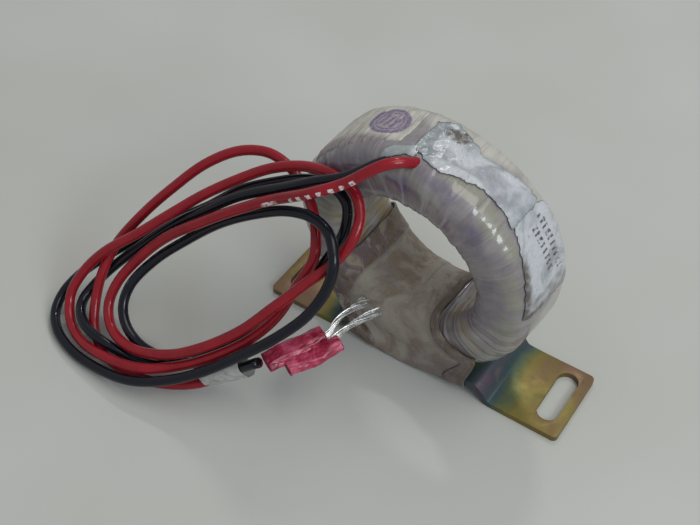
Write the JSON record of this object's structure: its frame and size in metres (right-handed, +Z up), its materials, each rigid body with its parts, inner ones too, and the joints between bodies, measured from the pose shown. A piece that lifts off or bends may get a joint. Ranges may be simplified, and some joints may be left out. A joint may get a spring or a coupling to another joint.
{
  "type": "toroidal current transformer",
  "caption": "Window-type toroidal current transformer, tape-bound to a slotted strap bracket, with coiled red and black flying leads.",
  "frame": {"origin": "on the mounting surface, under the middle of the strap bracket and of the ring's depth", "axes": "+X along the strap, +Y from the side the leads hang on to the other along the window, +Z up from the mounting surface"},
  "size_m": [0.1475, 0.0832, 0.0821],
  "materials": {
    "silicon_steel": "strip-wound laminations",
    "core_tape": "woven tape",
    "pressboard": "brown insulating board",
    "enamelled_copper": "enamelled copper wire",
    "sleeving_red": "woven sleeving",
    "sleeving_black": "woven sleeving",
    "varnished_film": "translucent purple-grey film, wrinkled and glossy",
    "cloth_tape": "cream cloth tape with a worn purple oval stamp",
    "grey_green_film": "grey-green film patch",
    "paper_tape": "white crinkled tape with dirty edges",
    "chromated_steel": "yellow chromate over zinc, iridescent",
    "cotton_tape": "grey-beige cotton tape with brown stains",
    "stained_cotton_tape": "brown varnish-soaked cotton tape",
    "red_pvc": "glossy dark red insulation",
    "black_pvc": "glossy near-black insulation",
    "pink_tape": "pink-red vinyl tape",
    "clear_tape": "clear tape",
    "tinned_copper": "bare tinned strands"
  },
  "bodies": {
    "root": {"core": "silicon_steel", "core_band_outer": "core_tape", "core_band_inner": "core_tape", "core_washer_front": "pressboard", "core_washer_back": "pressboard", "secondary_winding": "enamelled_copper", "winding_start_wire": "enamelled_copper", "winding_finish_wire": "enamelled_copper", "splice_sleeve_red": "sleeving_red", "splice_sleeve_black": "sleeving_black", "outer_wrap": "varnished_film", "rim_tape": "cloth_tape", "exit_patch": "grey_green_film", "label_tape_upper": "paper_tape", "label_tape_lower": "paper_tape", "saddle_pad": "pressboard", "mounting_bracket": "chromated_steel", "binding_tape": "cotton_tape", "binding_tape_under": "stained_cotton_tape", "red_lead": "red_pvc", "black_lead": "black_pvc", "tape_flag": "pink_tape", "clear_tape_wrap": "clear_tape", "red_lead_end": "tinned_copper", "black_lead_end": "tinned_copper"}
  },
  "joints": []
}
